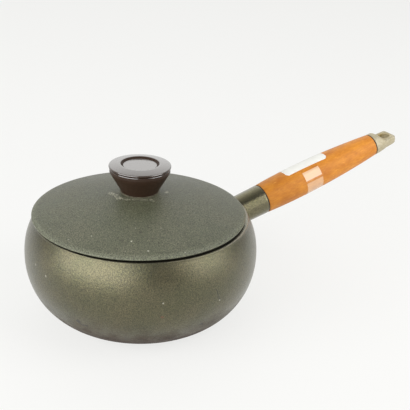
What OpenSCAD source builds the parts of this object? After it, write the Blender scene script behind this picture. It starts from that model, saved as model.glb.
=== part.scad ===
// Cast saucepan with a domed lid and a wooden handle held on by a through rod.
// The origin is the centre of the flat base, +X runs out along the handle and +Z is up.
// Lengths are in millimetres and angles in degrees.

/* [Pan] */
// Widest outside diameter of the pan
body_d = 190; // [182:1:198]
// Height of the rim above the base
body_h = 87.6; // [85:0.2:92]
// Height at which the pan is widest
belly_h = 54.6; // [48:0.2:58]
// Diameter of the flat base
base_d = 92; // [80:1:104]
// Outside diameter at the shoulder's top edge
rim_d = 172.4; // [171:0.2:175]
// How late the shoulder turns in towards the rim
shoulder_curve = 2.35; // [2:0.05:3]
// Width of the shoulder's edge and ledge, out to in, up to the neck
ledge_w = 2.8; // [2:0.1:4]
// Thickness of the side wall at the belly
wall_t = 4.2; // [3.2:0.1:5.2]
// Thickness of the base
base_t = 5.5; // [4:0.1:7]
// How far the inside floor stops short of the outside base
floor_inset = 6; // [3:0.5:10]
// Height of the narrow neck that stands above the shoulder's edge
neck_h = 1.2; // [0.8:0.1:2.4]
// Thickness of the neck
neck_t = 2.2; // [2:0.1:3]
// Rounding of the shoulder's edge
shoulder_round = 1.6; // [0.8:0.1:1.8]
// Rounding of the neck's two edges
neck_round = 0.8; // [0.4:0.1:0.9]

/* [Lid] */
// Outside diameter of the lid
lid_d = 172.4; // [171:0.2:178]
// Height of the dome above the start of its rolled edge
lid_rise = 16; // [13:0.5:20]
// How late the dome turns down towards its edge
lid_curve = 1.6; // [1.4:0.05:2.4]
// Width of the rolled edge
lid_roll = 6; // [4:0.2:7]
// Height of the rolled edge's start above the seat
lid_edge_h = 4.2; // [3.7:0.1:6]
// Thickness of the dome
lid_t = 3.4; // [2.6:0.1:4.2]
// Rounding under the lid's edge
lid_edge_round = 1; // [0.6:0.1:1.7]
// Depth of the locating ring below the lid's seat
ring_h = 7; // [4:0.5:10]
// Thickness of the locating ring
ring_t = 2.6; // [1.8:0.1:3.6]
// Radial play of the locating ring in the mouth
lid_play = 2.5; // [0.6:0.1:3.5]
// Direction in which the lid has slid across its play, from the handle
lid_slid_towards = 175; // [0:5:355]

/* [Knob] */
// Diameter of the knob at its top edge
knob_d = 49.8; // [47:0.2:56]
// Diameter of the upright band that tops the knob's cone
knob_side_d = 48.4; // [45:0.2:49]
// Height of that band below its rounded shoulder
knob_band_h = 2.3; // [0.5:0.1:4]
// Diameter of the knob at its foot
knob_foot_d = 30.6; // [27:0.2:36]
// Height of the knob from its foot to its top edge
knob_h = 21.7; // [18:0.1:25]
// Diameter of the crest round the dished top
dish_d = 31; // [28:0.5:36]
// Depth of the dish below its crest
dish_depth = 1.9; // [1.5:0.1:3]
// Width of the dish's sloping side
dish_side = 2; // [0.8:0.1:3]
// Height of the crest above the top edge
crest_h = 1.6; // [0.6:0.1:2.4]
// How far the crest is softened
crest_soft = 1.6; // [0.4:0.1:3]
// Radius of the band's rounded shoulder
bead_r = 1; // [0.6:0.1:1.1]
// Rounding of the top edge
knob_lip_r = 0.9; // [0.5:0.1:1]
// How far the gasket shows round the knob's foot
gasket_lip = 0.3; // [0.2:0.1:1.5]
// Thickness of the gasket
gasket_t = 0.5; // [0.4:0.1:1.2]
// Diameter of the knob's screw
screw_d = 5; // [4:0.5:6]
// Length of thread in the knob's insert
screw_grip = 9; // [6:0.5:11]
// Diameter of the insert
insert_d = 9.5; // [8.5:0.5:12]
// Diameter of the screw's head
screw_head_d = 11; // [9:0.5:13]
// Height of the screw's head
screw_head_h = 3; // [2:0.1:4]
// Diameter of the washer under the screw's head
screw_washer_d = 15; // [14:0.5:20]
// Thickness of that washer
screw_washer_t = 1; // [0.8:0.1:1.6]

/* [Handle] */
// Angle at which the handle rises
handle_tilt = 15.8; // [12:0.2:18]
// Height at which the handle's axis would meet the pan's axis
handle_root_h = 45.6; // [42:0.2:47]
// Outside diameter of the ferrule at the pan's wall
ferrule_d = 25; // [23:0.5:27]
// Outside diameter of the ferrule at the grip
ferrule_end_d = 26.2; // [24:0.2:28]
// Wall of the ferrule
ferrule_t = 2.8; // [2:0.1:3.6]
// Distance from the pan's axis to the ferrule's outer end, along the handle
ferrule_reach = 121; // [119:0.5:135]
// Thickness of the ferrule's end wall
ferrule_end_t = 4; // [3:0.5:5]
// How far the pan's boss stands out of the wall
boss_len = 8; // [6:0.5:9]
// Length of thread in the boss
boss_thread = 10.5; // [8:0.5:11]
// Length of the wooden grip
grip_len = 122.2; // [110:0.2:140]
// Thickest diameter of the grip
grip_d = 28.6; // [27:0.1:31]
// Where the grip is thickest, as a share of its length from the pan
grip_swell_at = 0.3; // [0.2:0.05:0.5]
// Diameter of the grip at its outer end
grip_end_d = 20.2; // [18:0.2:22]
// Thickness of the fibre washer at each end of the grip
seam_t = 1; // [0.6:0.1:1.5]
// How far the fibre washers stand back from the surface
seam_inset = 0.35; // [0.2:0.05:0.6]
// Diameter of the spigots that centre the grip
spigot_d = 12; // [11:0.5:13]
// Length of the spigots inside the grip
spigot_len = 5; // [3:0.5:8]
// Diameter of the tie rod
rod_d = 6; // [5:0.5:7]
// Width of the jam nut across its flats
nut_w = 10; // [9:0.5:11]
// Thickness of the jam nut
nut_t = 5; // [3:0.5:6]

/* [End cap] */
// Length of the end cap
cap_len = 23.3; // [22:0.1:30]
// Diameter that the cap tapers to
cap_tip_d = 16.8; // [15.6:0.2:18]
// Rounding of the cap's end
cap_tip_round = 2.2; // [1:0.2:3]
// Height of the tongue's upper flat above the handle's axis
flat_up = 2.8; // [1.5:0.1:4]
// Depth of the tongue's lower flat below the handle's axis
flat_down = 6.2; // [5:0.1:7]
// Distance from the cap's end to the start of the flats
flat_len = 11.7; // [11:0.1:14]
// Distance from the grip to the slope that leads down to the upper flat
slope_up_from = 5; // [1:0.5:6]
// Distance from the grip to the slope that leads up to the lower flat
slope_down_from = 5; // [3:0.5:8]
// Diameter of the hanging hole
hang_d = 9; // [7:0.5:9.5]
// Distance from the cap's end to the middle of the hanging hole
hang_in = 7.1; // [6.9:0.1:7.5]

/* [Label and tape] */
// Length of the paper label along the grip
label_len = 44.4; // [30:0.2:60]
// Width of the paper label over the grip's curve
label_w = 18.6; // [12:0.2:22]
// Radius of the label's corners
label_corner = 3; // [1:0.5:5]
// Distance from the ferrule's end to the label
label_from = 26.6; // [10:0.2:50]
// How far the label is turned from the top of the grip to the far side
label_turn = 16.5; // [-30:0.5:40]
// Thickness of the paper
paper_t = 0.15; // [0.1:0.05:0.3]
// Width of the clear tape
tape_w = 17.4; // [10:0.2:25]
// Distance from the ferrule's end to the tape
tape_from = 40.4; // [20:0.2:70]
// Thickness of the tape
tape_t = 0.1; // [0.05:0.05:0.2]

/* [Hidden] */
$fn = 96;

// Clearances: threads, sliding fits, bolt holes, the lid on the pan, and skins stuck to the grip
thread_gap = 0.05;
slip_gap = 0.15;
bolt_gap = 0.4;
touch_gap = 0.3;
skin_gap = 0.02;
eps = 0.01;

body_r = body_d / 2;
base_r = base_d / 2;
rim_r = rim_d / 2;
shoulder_z = body_h - neck_h;
neck_r = rim_r - ledge_w;
mouth_r = neck_r - neck_t;
floor_r = base_r - floor_inset;
inside_r = body_r - wall_t;

lid_r = lid_d / 2;
roll_from_r = lid_r - lid_roll;
lid_seat_z = body_h + touch_gap;
ring_r = mouth_r - lid_play;
lid_slid = lid_play - touch_gap;
gasket_r = knob_foot_d / 2 + gasket_lip;
crown_z = dome_z(gasket_r);
lid_boss_r = screw_washer_d / 2 + 1.5;
lid_boss_z = crown_z - lid_t - 1;
knob_z = crown_z + gasket_t;
screw_r = screw_d / 2;
insert_r = insert_d / 2;
insert_h = screw_grip + 2;
foot_round = 0.8;

rod_r = rod_d / 2;
ferrule_r = ferrule_d / 2;
ferrule_end_r = ferrule_end_d / 2;
boss_r = ferrule_r - ferrule_t - slip_gap;
wall_s = wall_distance(6);
boss_s = wall_s + boss_len;
rod_from_s = boss_s - boss_thread + 0.5;
grip_s = ferrule_reach + seam_t;
grip_end_s = grip_s + grip_len;
cap_s = grip_end_s + seam_t;
cap_end_s = cap_s + cap_len;
hang_s = cap_end_s - hang_in;
cap_thread = cap_len - hang_in - hang_d / 2 - 2;
rod_to_s = cap_s + cap_thread - 0.5;
spigot_r = spigot_d / 2;
cap_r = grip_end_d / 2;
cap_tip_r = cap_tip_d / 2;

// Outside radius of the pan at height z: a quarter ellipse up to the belly, then a curve that falls in to the
// shoulder's top edge
function outer_r(z) = z < belly_h
    ? base_r + (body_r - base_r) * sqrt(1 - pow(1 - z / belly_h, 2))
    : body_r - (body_r - rim_r) * pow((z - belly_h) / (shoulder_z - belly_h), shoulder_curve);

// Inside radius of the pan at height z above the belly: the outside's curve between the wall and the mouth
function inner_r(z) =
    inside_r - (inside_r - mouth_r) * pow((z - belly_h) / (shoulder_z - belly_h), shoulder_curve);

// Height of the lid's dome at radius r, inside its rolled edge
function dome_z(r) = lid_seat_z + lid_edge_h + lid_rise * (1 - pow(r / roll_from_r, lid_curve));

// Where the handle's axis leaves the pan's wall, measured along the handle, found by repeated substitution
function wall_distance(steps) = steps == 0
    ? body_r / cos(handle_tilt)
    : outer_r(handle_root_h + wall_distance(steps - 1) * sin(handle_tilt)) / cos(handle_tilt);

// Radius of the grip at a share u of its length: one parabola up to the swell, another down to the end
function grip_r(u) = u < grip_swell_at
    ? grip_d / 2 - (grip_d / 2 - ferrule_end_r) * pow(1 - u / grip_swell_at, 2)
    : grip_d / 2 - (grip_d / 2 - cap_r) * pow((u - grip_swell_at) / (1 - grip_swell_at), 2);

// Radius of the end cap at distance s from the grip, without its rounded end
function cap_outline_r(s) = cap_r - (cap_r - cap_tip_r) * pow(s / cap_len, 1.5);

// Points along a quarter arc of radius r round a centre, from one angle to another
function arc(cx, cy, r, from, to, steps = 5) =
    [for (i = [0:steps]) let (a = from + (to - from) * i / steps) [cx + r * cos(a), cy + r * sin(a)]];

// Points along the curve that leaves one point towards a corner and arrives at another from it
function bend(a, corner, b, steps) =
    [for (i = [1:steps]) let (t = i / steps) (1 - t) * (1 - t) * a + 2 * t * (1 - t) * corner + t * t * b];

// Pan outline from the base's middle up to the given height, moved out by grow
function pan_outline(grow, top) = concat(
    [[0, -grow]],
    [for (a = [0:6:90]) [base_r + grow + (body_r - base_r) * sin(a), belly_h * (1 - cos(a)) - grow * cos(a)]],
    [for (i = [1:14]) let (z = belly_h + (top - belly_h) * i / 14) [outer_r(z) + grow, z]]);

// The shoulder ends in a rounded edge with a ledge inside it, from which the neck stands up
module pan_outside() {
    turn = shoulder_z - shoulder_round;
    shoulder = arc(outer_r(turn) - shoulder_round, turn, shoulder_round, 0, 90);
    edge = arc(neck_r - neck_round, body_h - neck_round, neck_round, 0, 90);
    rotate_extrude()
        polygon(concat(pan_outline(0, turn), shoulder, [[neck_r, shoulder_z]], edge, [[0, body_h]]));
}

module pan_inside() {
    low = [for (a = [0:6:90])
        [floor_r + (inside_r - floor_r) * sin(a), base_t + (belly_h - base_t) * (1 - cos(a))]];
    high = [for (i = [1:14]) let (z = belly_h + (shoulder_z - belly_h) * i / 14) [inner_r(z), z]];
    edge = arc(mouth_r + neck_round, body_h - neck_round, neck_round, 180, 90);
    rotate_extrude()
        polygon(concat([[0, base_t]], low, high, edge, [[mouth_r + neck_round, body_h + 1], [0, body_h + 1]]));
}

// Places what is drawn along +Z out along the handle, with its local -X on top
module along_handle(s = 0) {
    translate([0, 0, handle_root_h]) rotate([0, 90 - handle_tilt, 0]) translate([0, 0, s]) children();
}

// Places what is drawn round the Z axis on the lid's axis
module on_lid_axis(z = 0) {
    translate([lid_slid * cos(lid_slid_towards), lid_slid * sin(lid_slid_towards), z]) children();
}

module pan_body() {
    color([0.25, 0.25, 0.20]) difference() {
        union() {
            pan_outside();
            along_handle(wall_s - wall_t) cylinder(h = wall_t + boss_len, r = boss_r);
        }
        pan_inside();
        along_handle(boss_s - boss_thread) cylinder(h = boss_thread + 1, r = rod_r + thread_gap);
    }
}

module handle_ferrule() {
    start = wall_s - wall_t - 4;
    color([0.27, 0.28, 0.23]) difference() {
        union() {
            along_handle(start) cylinder(h = ferrule_reach - start, r1 = ferrule_r, r2 = ferrule_end_r);
            along_handle(ferrule_reach - eps) cylinder(h = seam_t + spigot_len + eps, r = spigot_r);
        }
        rotate_extrude() polygon(concat(pan_outline(slip_gap, shoulder_z), [[0, shoulder_z]]));
        along_handle(start - 1)
            cylinder(h = ferrule_reach - ferrule_end_t - start + 1, r = boss_r + slip_gap);
        along_handle(start) cylinder(h = ferrule_reach - start + 20, r = rod_r + bolt_gap);
    }
}

module tie_rod() {
    color([0.62, 0.62, 0.60])
        along_handle(rod_from_s) cylinder(h = rod_to_s - rod_from_s, r = rod_r);
}

module jam_nut() {
    color([0.58, 0.58, 0.56]) along_handle(boss_s) difference() {
        cylinder(h = nut_t, r = nut_w / sqrt(3), $fn = 6);
        translate([0, 0, -1]) cylinder(h = nut_t + 2, r = rod_r + thread_gap);
    }
}

// Fibre washer between a metal end piece and the grip
module seam_washer(s, outside_r) {
    along_handle(s) difference() {
        cylinder(h = seam_t, r = outside_r - seam_inset);
        translate([0, 0, -1]) cylinder(h = seam_t + 2, r = spigot_r + slip_gap);
    }
}

module front_washer() {
    color([0.12, 0.08, 0.06]) seam_washer(ferrule_reach, ferrule_end_r);
}

module rear_washer() {
    color([0.12, 0.08, 0.06]) seam_washer(grip_end_s, cap_r);
}

module wooden_grip() {
    outline = [for (i = [0:32]) [grip_r(i / 32), grip_len * i / 32]];
    socket = spigot_len + slip_gap;
    color([0.85, 0.52, 0.22]) along_handle(grip_s) difference() {
        rotate_extrude() polygon(concat([[0, 0]], outline, [[0, grip_len]]));
        translate([0, 0, -1]) cylinder(h = grip_len + 2, r = rod_r + bolt_gap);
        translate([0, 0, -1]) cylinder(h = socket + 1, r = spigot_r + slip_gap);
        translate([0, 0, grip_len - socket]) cylinder(h = socket + 1, r = spigot_r + slip_gap);
    }
}

// Cuts everything beyond a flat on one side of the cap, and beyond the slope that leads down to it
module flatten(side, depth, slope_from) {
    reach = cap_r + 5;
    rotate([90, 0, 0]) linear_extrude(3 * reach, center = true)
        polygon([[side * depth, cap_len + 2], [side * depth, cap_len - flat_len], [side * cap_r, slope_from],
                 [side * reach, slope_from], [side * reach, cap_len + 2]]);
}

module end_cap() {
    straight = cap_len - cap_tip_round;
    outline = [for (i = [0:12]) let (s = straight * i / 12) [cap_outline_r(s), s]];
    tip = arc(cap_outline_r(straight) - cap_tip_round, straight, cap_tip_round, 0, 90);
    color([0.72, 0.71, 0.63]) along_handle(cap_s) difference() {
        union() {
            rotate_extrude() polygon(concat([[0, 0]], outline, tip, [[0, cap_len]]));
            translate([0, 0, -seam_t - spigot_len])
                cylinder(h = seam_t + spigot_len + eps, r = spigot_r);
        }
        flatten(-1, flat_up, slope_up_from);
        flatten(1, flat_down, slope_down_from);
        translate([0, 0, cap_len - hang_in]) rotate([0, 90, 0])
            cylinder(h = 4 * cap_r, r = hang_d / 2, center = true);
        translate([0, 0, -seam_t - spigot_len - 1])
            cylinder(h = cap_thread + seam_t + spigot_len + 1, r = rod_r + thread_gap);
    }
}

// Thin sleeve of thickness t over the grip, its inside a gap above the wood, between two places on the grip
module grip_skin(from, length, gap, t) {
    ring = [for (i = [0:10]) let (s = from - seam_t + length * i / 10) [grip_r(s / grip_len), s]];
    inside = [for (p = ring) [p[0] + gap, p[1]]];
    outside = [for (i = [10:-1:0]) [ring[i][0] + gap + t, ring[i][1]]];
    along_handle(grip_s) rotate_extrude() polygon(concat(inside, outside));
}

// Flat rectangle with round corners, centred
module round_rectangle(x, y, corner) {
    square([x - 2 * corner, y], center = true);
    square([x, y - 2 * corner], center = true);
    for (i = [-1, 1], j = [-1, 1])
        translate([i * (x / 2 - corner), j * (y / 2 - corner)]) circle(r = corner);
}

module paper_label() {
    color([0.94, 0.94, 0.90]) intersection() {
        grip_skin(label_from, label_len, 2 * skin_gap + tape_t, paper_t);
        along_handle(ferrule_reach + label_from + label_len / 2) rotate([0, -90, label_turn * -1])
            linear_extrude(grip_d) round_rectangle(label_len, label_w, label_corner);
    }
}

module clear_tape() {
    color([0.92, 0.80, 0.66, 0.6]) grip_skin(tape_from, tape_w, skin_gap, tape_t);
}

module lid_shell() {
    edge_r = lid_r - lid_edge_round;
    edge_z = lid_seat_z + lid_edge_round;
    under = lid_seat_z - ring_h;
    inner_r = ring_r - ring_t;
    corner_z = dome_z(roll_from_r) - lid_roll * lid_rise * lid_curve / roll_from_r;
    top = [for (i = [0:24]) let (r = gasket_r + (roll_from_r - gasket_r) * i / 24) [r, dome_z(r)]];
    roll = bend([roll_from_r, dome_z(roll_from_r)], [lid_r, corner_z], [lid_r, edge_z], 10);
    edge = arc(edge_r, edge_z, lid_edge_round, 0, -90);
    ring = [[ring_r, lid_seat_z], [ring_r, under], [inner_r, under]];
    hollow = [for (i = [0:20]) let (r = inner_r + (lid_boss_r - inner_r) * i / 20) [r, dome_z(r) - lid_t]];
    boss = [[lid_boss_r, lid_boss_z], [screw_r + slip_gap, lid_boss_z], [screw_r + slip_gap, crown_z]];
    color([0.36, 0.37, 0.33]) on_lid_axis()
        rotate_extrude() polygon(concat(top, roll, edge, ring, hollow, boss));
}

module lid_knob() {
    foot_r = knob_foot_d / 2;
    lip_in_r = knob_d / 2 - knob_lip_r;
    band_r = knob_side_d / 2;
    bead_z = knob_h - 2 * knob_lip_r - 1.2 * bead_r;
    dish_r = dish_d / 2;
    top_z = knob_h + crest_h;
    foot = arc(foot_r - foot_round, foot_round, foot_round, -90, 0, 4);
    band = concat([[band_r, bead_z - knob_band_h]], arc(band_r - bead_r, bead_z, bead_r, 0, 90, 6));
    lip = arc(lip_in_r, knob_h - knob_lip_r, knob_lip_r, -70, 78, 8);
    top = [dish_r, top_z];
    low = [dish_r - dish_side, top_z - dish_depth];
    crown = top + crest_soft * [1, -crest_h / (lip_in_r - dish_r)];
    slope = [top + 0.4 * (low - top), top + 0.65 * (low - top)];
    crest = bend(crown, top, slope[0], 5);
    dish = bend(slope[1], low, low - [0.35 * dish_side, 0], 4);
    color([0.20, 0.14, 0.11]) on_lid_axis(knob_z) difference() {
        rotate_extrude() polygon(concat(
            [[0, 0]], foot, band, lip, [crown], crest, [slope[1]], dish, [[0, low.y]]));
        translate([0, 0, -1]) cylinder(h = insert_h + 1.2, r = insert_r + thread_gap);
    }
}

module knob_insert() {
    color([0.80, 0.62, 0.30]) on_lid_axis(knob_z) difference() {
        cylinder(h = insert_h, r = insert_r);
        translate([0, 0, -1]) cylinder(h = screw_grip + 1.5, r = screw_r + thread_gap);
    }
}

module knob_screw() {
    head_top = lid_boss_z - screw_washer_t;
    color([0.65, 0.65, 0.63]) on_lid_axis(head_top - screw_head_h) difference() {
        union() {
            cylinder(h = screw_head_h, r = screw_head_d / 2);
            cylinder(h = screw_head_h + knob_z + screw_grip - head_top, r = screw_r);
        }
        translate([0, 0, 0.3]) cube([screw_head_d + 1, 1.2, 2.4], center = true);
    }
}

module knob_screw_washer() {
    color([0.60, 0.60, 0.58]) on_lid_axis(lid_boss_z - screw_washer_t) difference() {
        cylinder(h = screw_washer_t, r = screw_washer_d / 2);
        translate([0, 0, -1]) cylinder(h = screw_washer_t + 2, r = screw_r + slip_gap);
    }
}

module knob_gasket() {
    color([0.30, 0.28, 0.22]) on_lid_axis(crown_z) difference() {
        cylinder(h = gasket_t, r = gasket_r);
        translate([0, 0, -1]) cylinder(h = gasket_t + 2, r = screw_r + slip_gap);
    }
}

pan_body();
handle_ferrule();
tie_rod();
jam_nut();
front_washer();
wooden_grip();
rear_washer();
end_cap();
paper_label();
clear_tape();
lid_shell();
lid_knob();
knob_insert();
knob_screw();
knob_screw_washer();
knob_gasket();
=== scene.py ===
import math

import bpy
import numpy as np
from mathutils import Matrix, Vector


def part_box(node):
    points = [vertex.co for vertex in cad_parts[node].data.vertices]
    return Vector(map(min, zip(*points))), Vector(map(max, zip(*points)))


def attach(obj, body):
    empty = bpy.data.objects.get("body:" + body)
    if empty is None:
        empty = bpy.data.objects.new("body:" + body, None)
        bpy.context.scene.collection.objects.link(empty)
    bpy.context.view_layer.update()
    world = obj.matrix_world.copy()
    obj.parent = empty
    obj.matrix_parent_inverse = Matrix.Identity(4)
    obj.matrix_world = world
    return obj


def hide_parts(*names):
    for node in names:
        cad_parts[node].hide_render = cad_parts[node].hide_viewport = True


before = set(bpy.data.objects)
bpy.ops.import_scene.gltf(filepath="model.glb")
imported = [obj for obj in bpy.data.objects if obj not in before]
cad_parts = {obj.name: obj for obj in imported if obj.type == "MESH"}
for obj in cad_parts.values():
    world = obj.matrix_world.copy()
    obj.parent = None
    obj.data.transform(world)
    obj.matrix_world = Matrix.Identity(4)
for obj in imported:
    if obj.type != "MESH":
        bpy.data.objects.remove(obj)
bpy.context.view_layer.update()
bpy.context.scene.view_settings.view_transform = "Standard"

MM = 0.001

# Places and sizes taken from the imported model
pan_low, pan_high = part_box("pan_body")
lid_low, lid_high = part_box("lid_shell")
gasket_low, gasket_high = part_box("knob_gasket")
washer_low, washer_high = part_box("knob_screw_washer")
knob_low, knob_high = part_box("lid_knob")

# Pan: belly, base, shoulder, wall, the neck that stands inside the shoulder's edge, and the inside floor
BODY_R = pan_high.y
BODY_H = pan_high.z
BELLY_H = 54.6 * MM
BASE_R = 46 * MM
RIM_R = 86.2 * MM
SHOULDER_CURVE = 2.35
SHOULDER_Z = BODY_H - 1.2 * MM
SHOULDER_ROUND = 1.6 * MM
WALL = 4.2 * MM
MOUTH_R = 81.2 * MM
NECK_R = MOUTH_R + 2.2 * MM
NECK_ROUND = 0.8 * MM
BASE_T = 5.5 * MM
FLOOR_R = 40 * MM

# Lid: radius, centre, seat, dome, rolled edge, thickness, locating ring and the boss for the knob's screw
LID_R = (lid_high.y - lid_low.y) / 2
LID_X = (lid_low.x + lid_high.x) / 2
LID_Y = (lid_low.y + lid_high.y) / 2
LID_SEAT = BODY_H + 0.3 * MM
LID_RISE = 16 * MM
LID_CURVE = 1.6
LID_ROLL = 6 * MM
ROLL_FROM_R = LID_R - LID_ROLL
LID_EDGE_H = 4.2 * MM
LID_EDGE = 1 * MM
LID_T = 3.4 * MM
RING_LOW = lid_low.z
RING_R = 78.7 * MM
RING_T = 2.6 * MM
CROWN_Z = gasket_low.z
BOSS_R = 9 * MM
BOSS_Z = washer_high.z
SCREW_HOLE_R = 2.65 * MM

# Knob: foot, cone, the upright band on it with its rounded shoulder, top edge, crest and dish
KNOB_Z = knob_low.z
KNOB_R = (knob_high.y - knob_low.y) / 2
KNOB_FOOT_R = 15.3 * MM
KNOB_FOOT_ROUND = 0.8 * MM
BAND_R = 24.2 * MM
BAND_H = 2.3 * MM
KNOB_H = 21.7 * MM
BEAD_R = 1 * MM
LIP_R = 0.9 * MM
CREST_R = 15.5 * MM
CREST_H = 1.6 * MM
CREST_SOFT = 1.6 * MM
DISH_DEPTH = 1.9 * MM
DISH_SIDE = 2 * MM
INSERT_R = 4.8 * MM
INSERT_H = 11.2 * MM

# Handle: its rising axis, and distances s from the pan's axis along it
TILT = math.radians(15.8)
ROOT = np.array([0.0, 0.0, 45.6 * MM])
ALONG = np.array([math.cos(TILT), 0.0, math.sin(TILT)])
UPWARD = np.array([-math.sin(TILT), 0.0, math.cos(TILT)])
NEAR = np.array([0.0, -1.0, 0.0])
WALL_S = 96.7 * MM
FERRULE_FROM = WALL_S - WALL - 4 * MM
FERRULE_END = 121 * MM
FERRULE_R = 12.5 * MM
FERRULE_END_R = 13.1 * MM
FERRULE_BORE_R = 9.7 * MM
FERRULE_WALL = 4 * MM
SEAM = 1 * MM
SPIGOT_R = 6 * MM
SPIGOT_LEN = 5 * MM
SOCKET_R = 6.15 * MM
SOCKET_LEN = 5.15 * MM
ROD_HOLE_R = 3.4 * MM
THREAD_R = 3.05 * MM
WALL_GAP = 0.15 * MM
BOSS_BODY_R = 9.55 * MM
BOSS_FROM = WALL_S - WALL + 1 * MM
BOSS_TO = WALL_S + 8 * MM
GRIP_FROM = FERRULE_END + SEAM
GRIP_LEN = 122.2 * MM
GRIP_R = 14.3 * MM
GRIP_END_R = 10.1 * MM
SWELL_AT = 0.3
CAP_FROM = GRIP_FROM + GRIP_LEN + SEAM
CAP_LEN = 23.3 * MM
CAP_TIP_R = 8.4 * MM
CAP_TIP_ROUND = 2.2 * MM
CAP_THREAD = 9.7 * MM
FLAT_UP = 2.8 * MM
FLAT_DOWN = 6.2 * MM
FLAT_LEN = 11.7 * MM
SLOPE_UP_FROM = 5 * MM
SLOPE_DOWN_FROM = 5 * MM
HANG_R = 4.5 * MM
HANG_IN = 7.1 * MM

# Label and tape
LABEL_FROM = FERRULE_END + 26.6 * MM
LABEL_LEN = 44.4 * MM
LABEL_W = 18.6 * MM
LABEL_CORNER = 3 * MM
LABEL_TURN = math.radians(16.5)
TAPE_FROM = FERRULE_END + 40.4 * MM
TAPE_W = 17.4 * MM
TAPE_T = 0.1 * MM
PAPER_T = 0.15 * MM
SKIN_GAP = 0.02 * MM

TURN_STEPS = 256
HANDLE_STEPS = 144


# Meshes: grids of points, joined into closed skins

def surface(points, close_rows=False, close_columns=True):
    """Corners, faces and each face's row for a grid of points [row, column]. A closed direction joins its last
    line to its first, and an end row whose points all coincide becomes one corner, so that poles are closed."""
    rows, columns = points.shape[:2]
    index = np.arange(rows * columns).reshape(rows, columns)
    for row in (0, rows - 1):
        if np.ptp(points[row], axis=0).max() < 1e-9:
            index[row] = index[row, 0]
    if close_rows:
        index = np.vstack([index, index[:1]])
    if close_columns:
        index = np.hstack([index, index[:, :1]])
    quads = np.stack([index[:-1, :-1], index[1:, :-1], index[1:, 1:], index[:-1, 1:]], axis=-1)
    face_rows = np.repeat(np.arange(len(index) - 1), index.shape[1] - 1)
    quads = quads.reshape(-1, 4)
    first = quads[:, 0] == quads[:, 3]
    last = quads[:, 1] == quads[:, 2]
    whole = ~(first | last)
    used, renumbered = np.unique(quads, return_inverse=True)
    quads = renumbered.reshape(quads.shape)
    faces = quads[whole].tolist() + quads[first][:, [0, 1, 2]].tolist() + quads[last][:, [0, 1, 3]].tolist()
    face_rows = np.concatenate([face_rows[whole], face_rows[first], face_rows[last]])
    return points.reshape(-1, 3)[used], faces, face_rows


def outward(corners, faces):
    """The faces, turned round if the volume they enclose comes out negative."""
    fans = np.array([(f[0], f[i], f[i + 1]) for f in faces for i in range(1, len(f) - 1)])
    a, b, c = (corners[fans[:, k]] for k in range(3))
    volume = np.einsum("ij,ij->i", a, np.cross(b, c)).sum()
    return faces if volume > 0 else [face[::-1] for face in faces]


def make_piece(name, points, materials, body, replaced, slot, row_material=None, closed_skin=True, sharp=35,
               **closing):
    """Object from a grid of points that rides on a body and stands for CAD nodes, with its edges sharp past an
    angle and its faces' materials given by row."""
    corners, faces, face_rows = surface(points, **closing)
    if closed_skin:
        faces = outward(corners, faces)
    mesh = bpy.data.meshes.new(name)
    mesh.from_pydata(corners.tolist(), [], faces)
    for material in materials:
        mesh.materials.append(material)
    if row_material is not None:
        mesh.polygons.foreach_set("material_index", np.asarray(row_material)[face_rows].astype(np.int32))
    mesh.polygons.foreach_set("use_smooth", np.ones(len(faces), dtype=bool))
    mesh.set_sharp_from_angle(angle=math.radians(sharp))
    mesh.update()
    piece = bpy.data.objects.new(name, mesh)
    bpy.context.scene.collection.objects.link(piece)
    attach(piece, body)
    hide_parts(*replaced)
    return piece


def arc(x, y, radius, start, stop, steps=8):
    """Points on a circle round (x, y), from one angle to another in degrees."""
    angle = np.radians(np.linspace(start, stop, steps))
    return np.stack([x + radius * np.cos(angle), y + radius * np.sin(angle)], axis=1)


def bend(start, corner, end, steps=8):
    """Points on the curve that leaves one point towards a corner and arrives at another from it: a quadratic
    Bezier curve."""
    t = np.linspace(0, 1, steps)[:, None]
    start, corner, end = (np.array(point) for point in (start, corner, end))
    return (1 - t) ** 2 * start + 2 * t * (1 - t) * corner + t ** 2 * end


def line(*points, steps=2):
    """Points spaced evenly along each straight stretch between the given points."""
    stretches = [np.linspace(a, b, steps) for a, b in zip(points[:-1], points[1:])]
    return np.concatenate(stretches)


def tidy(profile):
    """The profile without points that repeat the one before."""
    step = np.linalg.norm(np.diff(profile, axis=0), axis=1)
    return profile[np.concatenate([[True], step > 1e-7])]


def turned(profile, x=0.0, y=0.0, steps=TURN_STEPS):
    """Grid of a profile of (radius, height) points turned round the upright line through (x, y)."""
    angle = np.arange(steps) * 2 * np.pi / steps
    radius, height = profile[:, :1], profile[:, 1:]
    return np.stack([x + radius * np.cos(angle), y + radius * np.sin(angle), height + 0 * angle], axis=-1)


def on_handle(s, radius, angle):
    """Points at a distance s along the handle's axis and a radius from it, at an angle from the top of the
    handle round to its near side."""
    s, radius, angle = np.broadcast_arrays(s, radius, angle)
    return (ROOT + s[..., None] * ALONG + (radius * np.cos(angle))[..., None] * UPWARD
            + (radius * np.sin(angle))[..., None] * NEAR)


def handle_angles(steps=HANDLE_STEPS):
    """Angles once round the handle, as one row."""
    return (np.arange(steps) * 2 * np.pi / steps)[None, :]


def turned_on_handle(profile, steps=HANDLE_STEPS):
    """Grid of a profile of (radius, s) points turned round the handle's axis."""
    return on_handle(profile[:, 1:], profile[:, :1], handle_angles(steps))


# Shapes

def outer_radius(z):
    """Pan's outside radius at height z: a quarter ellipse from the base to the belly, then a power curve that
    falls in to the shoulder's edge."""
    low = BASE_R + (BODY_R - BASE_R) * np.sqrt(np.clip(1 - (1 - z / BELLY_H) ** 2, 0, 1))
    share = np.clip((z - BELLY_H) / (SHOULDER_Z - BELLY_H), 0, 1)
    return np.where(z < BELLY_H, low, BODY_R - (BODY_R - RIM_R) * share ** SHOULDER_CURVE)


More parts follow.
